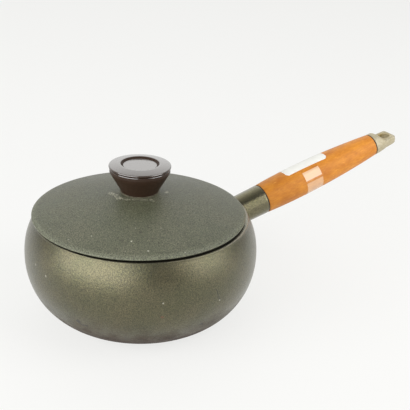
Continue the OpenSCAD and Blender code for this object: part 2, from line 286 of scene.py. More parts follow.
def inner_radius(z):
    """Pan's inside radius at height z above the belly: the outside's curve between the wall and the mouth."""
    share = np.clip((z - BELLY_H) / (SHOULDER_Z - BELLY_H), 0, 1)
    return BODY_R - WALL - (BODY_R - WALL - MOUTH_R) * share ** SHOULDER_CURVE


def pan_profile():
    """Outside and inside of the pan as one line from the base's middle to the floor's middle, and the number of
    its coated points, over the shoulder's rounded edge and along the ledge to the neck. The inside follows the
    outside and ends at the mouth."""
    a = np.radians(np.linspace(0, 90, 48))
    z = np.linspace(BELLY_H, SHOULDER_Z, 40)[1:]
    turn, top = SHOULDER_Z - SHOULDER_ROUND, BODY_H - NECK_ROUND
    edge_r = float(outer_radius(turn)) - SHOULDER_ROUND
    inside_r = BODY_R - WALL
    low = np.stack([BASE_R + (BODY_R - BASE_R) * np.sin(a), BELLY_H * (1 - np.cos(a))], axis=1)
    high = np.stack([outer_radius(z), z], axis=1)
    high_in = np.stack([inner_radius(z), z], axis=1)
    low_in = np.stack([FLOOR_R + (inside_r - FLOOR_R) * np.sin(a),
                       BASE_T + (BELLY_H - BASE_T) * (1 - np.cos(a))], axis=1)
    outside = np.concatenate([
        line((0, 0), (BASE_R * 0.5, 0), (BASE_R, 0), steps=4), low, high[z < turn],
        arc(edge_r, turn, SHOULDER_ROUND, 0, 90), line((edge_r, SHOULDER_Z), (NECK_R, SHOULDER_Z), steps=3)])
    inside = np.concatenate([
        arc(NECK_R - NECK_ROUND, top, NECK_ROUND, 0, 90),
        arc(MOUTH_R + NECK_ROUND, top, NECK_ROUND, 90, 180),
        high_in[::-1], low_in[::-1],
        line((FLOOR_R, BASE_T), (FLOOR_R * 0.5, BASE_T), (0, BASE_T), steps=4)])
    outside, inside = tidy(outside), tidy(inside)
    return tidy(np.concatenate([outside, inside])), len(outside)


def dome_height(r):
    """Height of the lid's outside at radius r: a power curve down from the crown to the rolled edge."""
    return LID_SEAT + LID_EDGE_H + LID_RISE * (1 - (r / ROLL_FROM_R) ** LID_CURVE)


def lid_profile():
    """Closed line round the lid's wall, with the number of its outside points: the hole for the screw, the
    crown, the dome, the rolled edge that leaves at the dome's slope, the seat, the locating ring, the hollow and
    the boss."""
    gasket_r = (gasket_high.y - gasket_low.y) / 2
    soft = 0.6 * MM
    ring_in = RING_R - RING_T
    out = np.linspace(gasket_r, ROLL_FROM_R, 60)
    back = np.linspace(ring_in, BOSS_R, 40)
    roll_z, edge_z = LID_SEAT + LID_EDGE_H, LID_SEAT + LID_EDGE
    corner_z = roll_z - LID_ROLL * LID_RISE * LID_CURVE / ROLL_FROM_R
    outside = np.concatenate([
        line((SCREW_HOLE_R, CROWN_Z), (gasket_r, CROWN_Z), steps=4),
        np.stack([out, dome_height(out)], axis=1),
        bend((ROLL_FROM_R, roll_z), (LID_R, corner_z), (LID_R, edge_z), steps=16),
        arc(LID_R - LID_EDGE, edge_z, LID_EDGE, 0, -90)])
    inside = np.concatenate([
        line((LID_R - LID_EDGE, LID_SEAT), (RING_R + soft, LID_SEAT), steps=4),
        arc(RING_R + soft, LID_SEAT - soft, soft, 90, 180, steps=5),
        arc(RING_R - soft, RING_LOW + soft, soft, 0, -90, steps=5),
        arc(ring_in + soft, RING_LOW + soft, soft, -90, -180, steps=5),
        np.stack([back, dome_height(back) - LID_T], axis=1),
        line((BOSS_R, BOSS_Z + soft), (BOSS_R - soft, BOSS_Z), (SCREW_HOLE_R, BOSS_Z), steps=3),
        line((SCREW_HOLE_R, BOSS_Z), (SCREW_HOLE_R, CROWN_Z), steps=3)[:-1]])
    outside, inside = tidy(outside), tidy(inside)
    return tidy(np.concatenate([outside, inside])), len(outside)


def knob_profile():
    """Line from the top of the insert's bore down and round the foot, up the cone and the band, over its rounded
    shoulder, the groove and the lip, straight up to the crest and down the dish's sloping side to its flat floor.
    With each step of the line comes 1 if it is polished: the crown, the dish's floor and the tops of the lip and
    the band."""
    lip_in_r = KNOB_R - LIP_R
    bead_z = KNOB_H - 2 * LIP_R - 1.2 * BEAD_R
    top = np.array([CREST_R, KNOB_H + CREST_H])
    low = top - [DISH_SIDE, DISH_DEPTH]
    crown = top + CREST_SOFT * np.array([1, -CREST_H / (lip_in_r - CREST_R)])
    side = tidy(np.concatenate([
        line((0, INSERT_H), (INSERT_R, INSERT_H), (INSERT_R, 0), (KNOB_FOOT_R - KNOB_FOOT_ROUND, 0), steps=3),
        arc(KNOB_FOOT_R - KNOB_FOOT_ROUND, KNOB_FOOT_ROUND, KNOB_FOOT_ROUND, -90, 0),
        line((KNOB_FOOT_R, KNOB_FOOT_ROUND), (BAND_R, bead_z - BAND_H), (BAND_R, bead_z - 0.4 * BAND_H), steps=4)]))
    parts = [
        (side, 0), (arc(BAND_R - BEAD_R, bead_z, BEAD_R, 0, 12, steps=2), 0),
        (arc(BAND_R - BEAD_R, bead_z, BEAD_R, 12, 90, steps=12), 1),
        (arc(lip_in_r, KNOB_H - LIP_R, LIP_R, -70, 5, steps=8), 0),
        (arc(lip_in_r, KNOB_H - LIP_R, LIP_R, 5, 78, steps=8), 1),
        (bend(crown, top, top + 0.4 * (low - top), steps=6)[:4], 1),
        (bend(crown, top, top + 0.4 * (low - top), steps=6)[3:], 0),
        (bend(top + 0.65 * (low - top), low, low - [0.35 * DISH_SIDE, 0], steps=6)[:4], 0),
        (bend(top + 0.65 * (low - top), low, low - [0.35 * DISH_SIDE, 0], steps=6)[3:], 1),
        (line(low - [0.35 * DISH_SIDE, 0], (low[0] * 0.5, low[1]), (0, low[1]), steps=5), 1)]
    points, shine = [parts[0][0][0]], []
    for part, polished in parts:
        for point in part:
            if np.hypot(*(point - points[-1])) > 0.01 * MM:
                points.append(point)
                shine.append(polished)
    return np.array(points) + [0, KNOB_Z], shine


def grip_radius(u):
    """Radius of the grip at a share u of its length: one parabola up to the swell, another down to the end."""
    rising = GRIP_R - (GRIP_R - FERRULE_END_R) * (1 - u / SWELL_AT) ** 2
    falling = GRIP_R - (GRIP_R - GRIP_END_R) * ((u - SWELL_AT) / (1 - SWELL_AT)) ** 2
    return np.where(u < SWELL_AT, rising, falling)


def grip_profile():
    """Closed line round the grip's wall: its bore, both sockets and the swelling outside with softened ends."""
    soft = 0.4 * MM
    u = np.linspace(soft / GRIP_LEN, 1 - soft / GRIP_LEN, 90)
    outside = np.stack([grip_radius(u), GRIP_LEN * u], axis=1)
    r_first, r_last = outside[0, 0], outside[-1, 0]
    profile = np.concatenate([
        line((ROD_HOLE_R, SOCKET_LEN), (SOCKET_R, SOCKET_LEN), (SOCKET_R, 0), (r_first - soft, 0), steps=3),
        arc(r_first - soft, soft, soft, -90, 0, steps=5), outside,
        arc(r_last - soft, GRIP_LEN - soft, soft, 0, 90, steps=5),
        line((r_last - soft, GRIP_LEN), (SOCKET_R, GRIP_LEN), (SOCKET_R, GRIP_LEN - SOCKET_LEN),
             (ROD_HOLE_R, GRIP_LEN - SOCKET_LEN), steps=3)])
    return tidy(profile) + [0, GRIP_FROM]


def ferrule_radius(s):
    """Radius of the ferrule's outside at distance s: a slight cone that widens towards the grip."""
    return FERRULE_R + (FERRULE_END_R - FERRULE_R) * (s - FERRULE_FROM) / (FERRULE_END - FERRULE_FROM)


def wall_distance(radius, angle):
    """Distance s at which a line along the handle, at an angle and at a radius that depends on s, leaves the
    pan's wall and the gap round it, by halving the stretch that holds it."""
    low = np.zeros_like(angle)
    high = np.full_like(angle, 2 * BODY_R)
    for _ in range(40):
        middle = (low + high) / 2
        point = on_handle(middle, radius(middle), angle)
        inside = np.hypot(point[..., 0], point[..., 1]) < outer_radius(point[..., 2]) + WALL_GAP
        low, high = np.where(inside, middle, low), np.where(inside, high, middle)
    return high


def ferrule_points():
    """Grid of the ferrule: rows run out along its outside from the saddle, over the end, the spigot and the bore,
    and back along its inside. A row near the pan starts where the wall is."""
    soft = 0.4 * MM
    angle = handle_angles()
    end, spigot_end = FERRULE_END, FERRULE_END + SEAM + SPIGOT_LEN
    bore_end = FERRULE_END - FERRULE_WALL
    share = np.linspace(0, 1, 24)[:, None]
    start_out = wall_distance(ferrule_radius, angle)
    start_in = wall_distance(lambda s: FERRULE_BORE_R + 0 * s, angle)
    out = start_out + (end - soft - start_out) * share
    outer = on_handle(out, ferrule_radius(out), angle)
    inner = on_handle(bore_end + (start_in - bore_end) * share, FERRULE_BORE_R, angle)
    turn = np.concatenate([
        arc(FERRULE_END_R - soft, end - soft, soft, 0, 90, steps=6)[1:],
        line((FERRULE_END_R - soft, end), (SPIGOT_R, end), (SPIGOT_R, spigot_end), (ROD_HOLE_R, spigot_end),
             (ROD_HOLE_R, bore_end), (FERRULE_BORE_R, bore_end), steps=3)])
    return np.concatenate([outer, turned_on_handle(tidy(turn)[1:-1]), inner])


def cap_rows():
    """Rows of the end cap as s from its start, circle radius, and the limits set by the flats above and below. A
    straight slope leads down to each flat, and the tip's edges are rounded in the circle and the flats alike."""
    s = np.concatenate([np.linspace(0, CAP_LEN - CAP_TIP_ROUND, 60),
                        CAP_LEN - CAP_TIP_ROUND * (1 - np.sin(np.radians(np.linspace(9, 90, 10))))])
    radius = GRIP_END_R - (GRIP_END_R - CAP_TIP_R) * (s / CAP_LEN) ** 1.5
    past = np.clip(s - (CAP_LEN - CAP_TIP_ROUND), 0, CAP_TIP_ROUND)
    rounding = CAP_TIP_ROUND - np.sqrt(np.clip(CAP_TIP_ROUND ** 2 - past ** 2, 0, None))
    flat_from = CAP_LEN - FLAT_LEN

    def limit(depth, slope_from):
        share = np.clip((flat_from - s) / (flat_from - slope_from), 0, 1)
        free = 4 * np.clip(slope_from - s, 0, None)
        return depth + (GRIP_END_R - depth) * share + free - 0.45 * rounding

    return s, radius - rounding, limit(FLAT_UP, SLOPE_UP_FROM), limit(FLAT_DOWN, SLOPE_DOWN_FROM)


def cap_points():
    """Grid of the end cap. A cross-section is a circle cut by two flats, with the corners rounded by adding the
    inverse of each limit to a high power: r = (R^-p + (cos/up)^p + (-cos/down)^p)^(-1/p)."""
    power = 9.0
    angle = handle_angles(180)
    up, down = np.clip(np.cos(angle), 0, None), np.clip(-np.cos(angle), 0, None)
    s, radius, flat_up, flat_down = (values[:, None] for values in cap_rows())
    limit = (radius ** -power + (up / flat_up) ** power + (down / flat_down) ** power) ** (-1 / power)
    outside = on_handle(CAP_FROM + s, limit, angle)
    tip_middle = ROOT + (CAP_FROM + CAP_LEN) * ALONG + (FLAT_UP - FLAT_DOWN) / 2 * UPWARD
    shrink = np.linspace(1, 0, 6)[1:, None, None]
    tip = tip_middle + (outside[-1] - tip_middle) * shrink
    spigot = line((0, CAP_THREAD), (THREAD_R, CAP_THREAD), (THREAD_R, -SEAM - SPIGOT_LEN),
                  (SPIGOT_R, -SEAM - SPIGOT_LEN), (SPIGOT_R, 0), steps=3)
    joint = turned_on_handle(tidy(spigot) + [0, CAP_FROM], 180)
    return np.concatenate([joint, outside, tip])


def skin_rows(start, length, lift, steps):
    """Distances along the grip and radii of a skin that lies a lift above the wood, as two columns."""
    s = np.linspace(start, start + length, steps)[:, None]
    return s, grip_radius((s - GRIP_FROM) / GRIP_LEN) + lift


def label_points():
    """Grid over the label: along the grip between its ends, and across between edges that draw in by a quarter
    circle at each corner. A point's place across is measured on the chord, so the edges look straight."""
    end = np.cumsum(np.sin(np.linspace(0.12, np.pi / 2, 9)))
    corner = end / end[-1] * LABEL_CORNER
    x = np.concatenate([[0.0], corner, np.linspace(LABEL_CORNER, LABEL_LEN - LABEL_CORNER, 30)[1:-1],
                        LABEL_LEN - corner[::-1], [LABEL_LEN]])
    short = np.clip(LABEL_CORNER - np.minimum(x, LABEL_LEN - x), 0, LABEL_CORNER)
    half = LABEL_W / 2 - LABEL_CORNER + np.sqrt(LABEL_CORNER ** 2 - short ** 2)
    across = half[:, None] * np.linspace(-1, 1, 33)
    s = (LABEL_FROM + x)[:, None]
    radius = grip_radius((s - GRIP_FROM) / GRIP_LEN) + 2 * SKIN_GAP + TAPE_T
    angle = np.arcsin(across / radius) - LABEL_TURN
    return on_handle(s + 0 * across, radius + 0 * across, angle)


def tape_points():
    """Closed grid of the tape: out along its inside, back along its outside. Its ends are a little askew."""
    angle = handle_angles()
    skew = 0.5 * MM * np.sin(angle - 1.0)
    s, inner = skin_rows(TAPE_FROM, TAPE_W, SKIN_GAP, 12)
    s_out, outer = s[::-1], inner[::-1] + TAPE_T
    return np.concatenate([on_handle(s + skew, inner, angle), on_handle(s_out + skew, outer, angle)])


# Materials

def put(tree, kind, inputs=(), **settings):
    """New node with its settings, whose inputs are set to a value or linked to another node's socket."""
    node = tree.nodes.new(kind)
    for name, value in settings.items():
        setattr(node, name, value)
    for key, value in dict(inputs).items():
        if isinstance(value, bpy.types.NodeSocket):
            tree.links.new(value, node.inputs[key])
        else:
            node.inputs[key].default_value = value
    return node


def calculate(tree, operation, a, b=0.0, third=0.0, clamp=False):
    """Result of a calculation on up to three values."""
    return put(tree, "ShaderNodeMath", {0: a, 1: b, 2: third}, operation=operation, use_clamp=clamp).outputs[0]


def vector_math(tree, operation, a, b):
    """Result of a calculation on two vectors: a value for a dot product, and a vector otherwise."""
    node = put(tree, "ShaderNodeVectorMath", {0: a, 1: b}, operation=operation)
    return node.outputs["Value" if operation == "DOT_PRODUCT" else "Vector"]


def ramp(tree, value, low, high, at_low=0.0, at_high=1.0):
    """Value moved smoothly from one range to another, and kept inside it."""
    return put(tree, "ShaderNodeMapRange", {"Value": value, "From Min": low, "From Max": high, "To Min": at_low,
                                            "To Max": at_high}, interpolation_type="SMOOTHSTEP").outputs[0]


def mix(tree, factor, a, b, mode="MIX"):
    """Colour between two colours."""
    return put(tree, "ShaderNodeMix", {0: factor, 6: a, 7: b}, data_type="RGBA", blend_type=mode).outputs[2]


def noise(tree, vector, size, detail=3.0, roughness=0.5, stretch=None):
    """Cloudy pattern from 0 to 1 with lumps of about the given size in metres."""
    if stretch is not None:
        vector = put(tree, "ShaderNodeMapping", {"Vector": vector, "Scale": stretch}).outputs[0]
    return put(tree, "ShaderNodeTexNoise", {"Vector": vector, "Scale": 1 / size, "Detail": detail,
                                            "Roughness": roughness}).outputs[0]


def object_place(tree):
    """Place on the piece in metres."""
    return put(tree, "ShaderNodeTexCoord").outputs["Object"]


def bump(tree, height, distance, strength=1.0):
    """Normal of a surface raised by a height of 0 to 1 times a distance in metres."""
    return put(tree, "ShaderNodeBump", {"Height": height, "Distance": distance,
                                        "Strength": strength}).outputs["Normal"]


def new_material(name, **sockets):
    """Material with one shader, whose sockets are set by name, and the shader's tree."""
    material = bpy.data.materials.new(name)
    material.use_nodes = True
    tree = material.node_tree
    tree.nodes.clear()
    shader = put(tree, "ShaderNodeBsdfPrincipled",
                 {name.replace("_", " "): value for name, value in sockets.items()})
    put(tree, "ShaderNodeOutputMaterial", {"Surface": shader.outputs["BSDF"]})
    return material, tree, shader


def join(tree, shader, **sockets):
    """Links sockets of the shader to other nodes."""
    for name, socket in sockets.items():
        tree.links.new(socket, shader.inputs[name.replace("_", " ")])


def new_group(name, inputs, outputs):
    """Empty node group with named inputs and outputs, and its two end nodes."""
    tree = bpy.data.node_groups.new(name, "ShaderNodeTree")
    for label, kind in inputs.items():
        tree.interface.new_socket(label, in_out="INPUT", socket_type="NodeSocket" + kind)
    for label, kind in outputs.items():
        tree.interface.new_socket(label, in_out="OUTPUT", socket_type="NodeSocket" + kind)
    return tree, tree.nodes.new("NodeGroupInput"), tree.nodes.new("NodeGroupOutput")


def use_group(tree, group, inputs):
    """A placed copy of a node group."""
    node = tree.nodes.new("ShaderNodeGroup")
    node.node_tree = group
    for key, value in inputs.items():
        if isinstance(value, bpy.types.NodeSocket):
            tree.links.new(value, node.inputs[key])
        else:
            node.inputs[key].default_value = value
    return node.outputs


def pebbled_group():
    """Pebbled coat: lumps of a given fineness and finer grit give a height, with a brightness that differs from
    grain to grain, and slow patches over some centimetres."""
    tree, start, end = new_group("pebbled coat", {"Vector": "Vector", "Size": "Float"},
                                 {"Height": "Float", "Grain": "Float", "Patches": "Float"})
    vector = start.outputs["Vector"]
    scale = calculate(tree, "DIVIDE", 1.0, start.outputs["Size"])
    lumps = put(tree, "ShaderNodeTexNoise", {"Vector": vector, "Scale": scale, "Detail": 2.0,
                                             "Roughness": 0.6}).outputs[0]
    grit = put(tree, "ShaderNodeTexNoise", {"Vector": vector, "Scale": calculate(tree, "MULTIPLY", scale, 2.3),
                                            "Detail": 1.0, "Roughness": 0.5}).outputs[0]
    tree.links.new(put(tree, "ShaderNodeMath", {0: grit, 1: 0.4, 2: lumps}, operation="MULTIPLY_ADD").outputs[0],
                   end.inputs["Height"])
    tree.links.new(grit, end.inputs["Grain"])
    tree.links.new(noise(tree, vector, 0.022, 4.0, 0.6), end.inputs["Patches"])
    return tree


def specks_group():
    """Sparse specks: cells whose random number is high show a small irregular dot at their middle."""
    tree, start, end = new_group("specks", {"Vector": "Vector", "Fineness": "Float", "Share": "Float",
                                            "Radius": "Float"}, {"Mask": "Float"})
    cell = put(tree, "ShaderNodeTexVoronoi", {"Vector": start.outputs["Vector"],
                                              "Scale": start.outputs["Fineness"]})
    chance = put(tree, "ShaderNodeSeparateColor", {"Color": cell.outputs["Color"]})
    chosen = calculate(tree, "LESS_THAN", chance.outputs[0], start.outputs["Share"])
    size = calculate(tree, "MULTIPLY", start.outputs["Radius"],
                     calculate(tree, "ADD", chance.outputs[1], 0.35))
    dot = calculate(tree, "LESS_THAN", cell.outputs["Distance"], size)
    tree.links.new(calculate(tree, "MULTIPLY", chosen, dot), end.inputs["Mask"])
    return tree


def mark_group():
    """Scratch or spot: 1 within a width of the straight stretch between two places, with ragged edges."""
    tree, start, end = new_group("mark", {"Vector": "Vector", "From": "Vector", "To": "Vector", "Width": "Float"},
                                 {"Mask": "Float"})
    width = start.outputs["Width"]
    rough = noise(tree, start.outputs["Vector"], 0.0015, 3.0, 0.6)
    along = vector_math(tree, "SUBTRACT", start.outputs["To"], start.outputs["From"])
    away = vector_math(tree, "SUBTRACT", start.outputs["Vector"], start.outputs["From"])
    square = calculate(tree, "ADD", vector_math(tree, "DOT_PRODUCT", along, along), 1e-9)
    share = calculate(tree, "DIVIDE", vector_math(tree, "DOT_PRODUCT", away, along), square, clamp=True)
    nearest = put(tree, "ShaderNodeVectorMath", {0: along, "Scale": share}, operation="SCALE").outputs[0]
    distance = put(tree, "ShaderNodeVectorMath", {0: away, 1: nearest}, operation="DISTANCE").outputs["Value"]
    ragged = calculate(tree, "MULTIPLY", width, calculate(tree, "MULTIPLY_ADD", rough, 1.6, third=0.2))
    tree.links.new(calculate(tree, "SUBTRACT", 1.0, ramp(tree, calculate(tree, "DIVIDE", distance, ragged),
                                                         0.7, 1.3)), end.inputs["Mask"])
    return tree


def wood_group():
    """Oiled wood along the handle: slow bands of light and dark, darker clouds, a fine fibre and short pale flecks,
    all drawn out along the handle's axis, and paler towards the end cap."""
    tree, start, end = new_group("oiled wood", {"Vector": "Vector"}, {"Color": "Color", "Height": "Float"})
    turned_back = put(tree, "ShaderNodeMapping", {"Vector": start.outputs["Vector"], "Rotation": (0, TILT, 0)},
                      vector_type="POINT").outputs[0]
    bands = noise(tree, turned_back, 0.004, 5.0, 0.7, stretch=(0.4, 1.0, 1.0))
    fibre = noise(tree, turned_back, 0.0011, 3.0, 0.7, stretch=(0.22, 1.0, 1.0))
    cloud = noise(tree, turned_back, 0.011, 3.0, 0.6, stretch=(0.5, 1.0, 1.0))
    ray = noise(tree, turned_back, 0.0022, 2.0, 0.5, stretch=(0.35, 1.0, 1.0))
    along = put(tree, "ShaderNodeSeparateXYZ", {"Vector": turned_back}).outputs["X"]
    light = mix(tree, ramp(tree, bands, 0.3, 0.72), (0.58, 0.205, 0.020, 1), (0.70, 0.285, 0.032, 1))
    clouded = mix(tree, ramp(tree, cloud, 0.35, 0.75, 0.0, 0.6), light, (0.44, 0.135, 0.018, 1))
    fibred = mix(tree, ramp(tree, fibre, 0.35, 0.8, 0.0, 0.35), clouded, (0.34, 0.10, 0.014, 1))
    flecked = mix(tree, ramp(tree, ray, 0.62, 0.8, 0.0, 0.4), fibred, (0.84, 0.40, 0.08, 1))
    paler = ramp(tree, along, GRIP_FROM, GRIP_FROM + GRIP_LEN, 0.87, 1.08)
    grey = put(tree, "ShaderNodeCombineColor", {0: paler, 1: paler, 2: paler}).outputs[0]
    tree.links.new(mix(tree, 1.0, flecked, grey, "MULTIPLY"), end.inputs["Color"])
    tree.links.new(calculate(tree, "ADD", calculate(tree, "MULTIPLY", fibre, 0.7), bands),
                   end.inputs["Height"])
    return tree


PEBBLED = pebbled_group()
SPECKS = specks_group()
MARK = mark_group()
WOOD = wood_group()


def shaded(tree, colour, value, low, high):
    """Colour times a factor that runs from low to high as the value runs over its middle range."""
    factor = ramp(tree, value, 0.3, 0.7, low, high)
    grey = put(tree, "ShaderNodeCombineColor", {0: factor, 1: factor, 2: factor}).outputs[0]
    return mix(tree, 1.0, colour, grey, "MULTIPLY")


def on_wall(azimuth, z):
    """Place on the pan's outside at an azimuth in degrees and a height."""
    r, a = float(outer_radius(z)), math.radians(azimuth)
    return (r * math.cos(a), r * math.sin(a), z)


def on_lid(azimuth, r):
    """Place on the lid's outside at an azimuth in degrees and a radius from its middle."""
    a = math.radians(azimuth)
    return (LID_X + r * math.cos(a), LID_Y + r * math.sin(a), float(dome_height(r)))


def marked(tree, place, colour, mark_colour, strength, surface_place, marks):
    """Colour with scratches and spots drawn over it. Each mark runs from one place to another, given by an azimuth
    in degrees and a length in millimetres, and has a width in millimetres."""
    for azimuth, length, to_azimuth, to_length, width in marks:
        mask = use_group(tree, MARK, {"Vector": place, "From": surface_place(azimuth, length * MM),
                                      "To": surface_place(to_azimuth, to_length * MM), "Width": width * MM})["Mask"]
        colour = mix(tree, calculate(tree, "MULTIPLY", mask, strength), colour, (*mark_colour, 1))
    return colour


def pan_enamel():
    """Pebbled coat of olive metal flakes under a clear layer: slow patches, a pale edge on the shoulder under the
    handle's side that is partly wear and partly a painted highlight, a browner and duller band with uneven edges
    near the base, and a few scratches, chips and pale dots."""
    material, tree, shader = new_material("pan_enamel", Specular_IOR_Level=0.2, Coat_IOR=1.65,
                                          Coat_Roughness=0.42)
    place = object_place(tree)
    height = put(tree, "ShaderNodeSeparateXYZ", {"Vector": place}).outputs["Z"]
    coat = use_group(tree, PEBBLED, {"Vector": place, "Size": 0.0016})
    specks = use_group(tree, SPECKS, {"Vector": place, "Fineness": 120.0, "Share": 0.06, "Radius": 0.06})["Mask"]
    uneven = calculate(tree, "MULTIPLY", noise(tree, place, 0.016, 6.0, 0.65), 0.034)
    low = ramp(tree, calculate(tree, "SUBTRACT", height, uneven), -0.006, 0.022, 1.0, 0.0)
    edge = calculate(tree, "MULTIPLY", ramp(tree, height, SHOULDER_Z - 0.9 * MM, SHOULDER_Z - 0.3 * MM),
                     ramp(tree, height, SHOULDER_Z - 0.2 * MM, SHOULDER_Z - 0.02 * MM, 1.0, 0.3))
    # Pale edge on the shoulder: partly worn paint, partly a painted highlight, so it is made strongest on one side.
    side = vector_math(tree, "DOT_PRODUCT", place, (0.906, -0.423, 0))
    worn_edge_and_highlight = calculate(tree, "MULTIPLY", edge, ramp(tree, side, 0.05, 0.08, 0.12, 0.85))
    olive = mix(tree, ramp(tree, coat["Patches"], 0.3, 0.7), (0.074, 0.070, 0.024, 1), (0.098, 0.085, 0.034, 1))
    base = mix(tree, low, olive, (0.060, 0.043, 0.032, 1))
    base = mix(tree, worn_edge_and_highlight, base, (0.36, 0.33, 0.25, 1))
    base = mix(tree, calculate(tree, "MULTIPLY", specks, 0.5), base, (0.30, 0.28, 0.20, 1))
    base = marked(tree, place, base, (0.012, 0.009, 0.005), 0.8, on_wall, [
        (193.4, 40, 195.8, 30.4, 0.6), (211.9, 31.7, 214.3, 29.2, 0.6), (214.3, 29.2, 217.7, 29.6, 0.6),
        (212.6, 32.2, 213.2, 32.0, 1.2), (274.7, 29.2, 275.6, 28.9, 1.2), (280.3, 58.9, 282.5, 49.5, 0.35)])
    base = marked(tree, place, base, (0.16, 0.06, 0.02), 0.7, on_wall, [(253.3, 45.2, 253.6, 45.0, 0.9)])
    base = marked(tree, place, base, (0.42, 0.40, 0.32), 0.8, on_wall, [
        (185.3, 65, 185.5, 64.8, 0.7), (194.6, 61.9, 194.8, 61.7, 0.7), (253.6, 57, 253.8, 57, 0.6),
        (282.7, 48.5, 282.9, 48.3, 0.6)])
    rough = ramp(tree, coat["Patches"], 0.2, 0.8, 0.34, 0.42)
    clear = ramp(tree, coat["Grain"], 0.3, 0.7, 0.75, 1.0)
    join(tree, shader, Base_Color=shaded(tree, base, coat["Grain"], 0.6, 1.4),
         Metallic=ramp(tree, low, 0.0, 1.0, 1.0, 0.15),
         Coat_Weight=put(tree, "ShaderNodeMix", {0: low, 2: clear, 3: 0.0}).outputs[0],
         Roughness=put(tree, "ShaderNodeMix", {0: low, 2: rough, 3: 0.65}).outputs[0],
         Normal=bump(tree, coat["Height"], 0.00035, 0.85))
    return material


def ferrule_enamel():
    """The pan's coat on the ferrule: finer and shinier, with slow browner blotches."""
    material, tree, shader = new_material("ferrule_enamel", Metallic=1.0, Coat_IOR=1.6, Coat_Roughness=0.35)
    place = object_place(tree)
    coat = use_group(tree, PEBBLED, {"Vector": place, "Size": 0.0013})
    blotch = noise(tree, place, 0.012, 3.0, 0.6)
    base = mix(tree, ramp(tree, blotch, 0.3, 0.75), (0.122, 0.112, 0.048, 1), (0.140, 0.120, 0.064, 1))
    join(tree, shader, Base_Color=shaded(tree, base, coat["Grain"], 0.6, 1.4),
         Coat_Weight=ramp(tree, coat["Grain"], 0.3, 0.7, 0.6, 0.9),
         Roughness=ramp(tree, blotch, 0.2, 0.8, 0.21, 0.27), Normal=bump(tree, coat["Height"], 0.0002, 0.6))
    return material


def inside_enamel_and_gap_shade():
    """Plain dark enamel inside the pan, on its neck and under the lid, with a few fine scratches. On the lower half
    of the lid's rounded edge it is painted shade of the gap between lid and pan.
    """
    material, tree, shader = new_material("inside_enamel_and_gap_shade", Specular_IOR_Level=0.25)
    place = object_place(tree)
    cloud = noise(tree, place, 0.02, 4.0, 0.6)
    fine = noise(tree, place, 0.0012, 3.0, 0.6)
    base = mix(tree, ramp(tree, cloud, 0.3, 0.75), (0.009, 0.008, 0.006, 1), (0.018, 0.016, 0.013, 1))
    join(tree, shader, Base_Color=base, Roughness=ramp(tree, fine, 0.2, 0.8, 0.42, 0.58),
         Normal=bump(tree, fine, 0.0001, 0.5))
    return material


def lid_enamel():
    """Matte grey-green coat of the lid with fine grain, pale specks, slow lighter patches, a rolled edge painted
    paler as a highlight, and limescale round the knob's foot."""
    material, tree, shader = new_material("lid_enamel", Specular_IOR_Level=0.45)
    place = object_place(tree)
    coat = use_group(tree, PEBBLED, {"Vector": place, "Size": 0.0015})
    base = mix(tree, ramp(tree, coat["Patches"], 0.3, 0.7), (0.088, 0.093, 0.057, 1), (0.106, 0.107, 0.069, 1))
    flat = put(tree, "ShaderNodeVectorMath", {0: place, 1: (1, 1, 0)}, operation="MULTIPLY").outputs[0]
    radius = put(tree, "ShaderNodeVectorMath", {0: flat, 1: (LID_X, LID_Y, 0)}, operation="DISTANCE").outputs["Value"]
    # Painted highlight: the rolled edge is made paler all round.
    painted_edge_highlight = ramp(tree, radius, ROLL_FROM_R + 1 * MM, LID_R - 1 * MM, 0.0, 0.8)
    base = mix(tree, painted_edge_highlight, base, (0.145, 0.152, 0.105, 1))
    specks = use_group(tree, SPECKS, {"Vector": place, "Fineness": 170.0, "Share": 0.22, "Radius": 0.11})["Mask"]
    base = mix(tree, calculate(tree, "MULTIPLY", specks, 0.3), base, (0.50, 0.50, 0.42, 1))
    fine = ramp(tree, noise(tree, place, 0.0011, 3.0, 0.6), 0.42, 0.62, 0.0, 0.55)
    base = marked(tree, place, base, (0.60, 0.58, 0.44), fine, on_lid, [
        (160, 24, 178, 21.5, 1.8), (178, 20.5, 196, 22, 1.8), (196, 21, 216, 20.5, 1.2),
        (216, 19.5, 262, 19, 0.9), (270.5, 19.5, 272, 21.5, 1.6), (329, 21, 334, 22, 1.2)])
    base = marked(tree, place, base, (0.55, 0.54, 0.45), 0.7, on_lid, [
        (239.3, 69.3, 239.6, 69.3, 0.55), (213.7, 69.8, 214, 69.8, 0.4), (248.7, 79, 249, 79, 0.45)])
    join(tree, shader, Base_Color=shaded(tree, base, coat["Grain"], 0.38, 1.62),
         Roughness=ramp(tree, coat["Patches"], 0.2, 0.8, 0.42, 0.5),
         Normal=bump(tree, coat["Height"], 0.00045, 0.9))
    return material


def oiled_wood():
    """Oiled grip: the wood group with a soft gloss."""
    material, tree, shader = new_material("oiled_wood", Roughness=0.45, Specular_IOR_Level=0.3)
    wood = use_group(tree, WOOD, {"Vector": object_place(tree)})
    join(tree, shader, Base_Color=wood["Color"], Normal=bump(tree, wood["Height"], 0.00008, 0.5))
    return material


def handle_turn(tree, place):
    """Angle round the handle in degrees, from its top to its near side."""
    upward = vector_math(tree, "DOT_PRODUCT", place, tuple(UPWARD))
    upward = calculate(tree, "SUBTRACT", upward, float(ROOT @ UPWARD))
    near = vector_math(tree, "DOT_PRODUCT", place, tuple(NEAR))
    return calculate(tree, "DEGREES", calculate(tree, "ARCTAN2", near, upward))


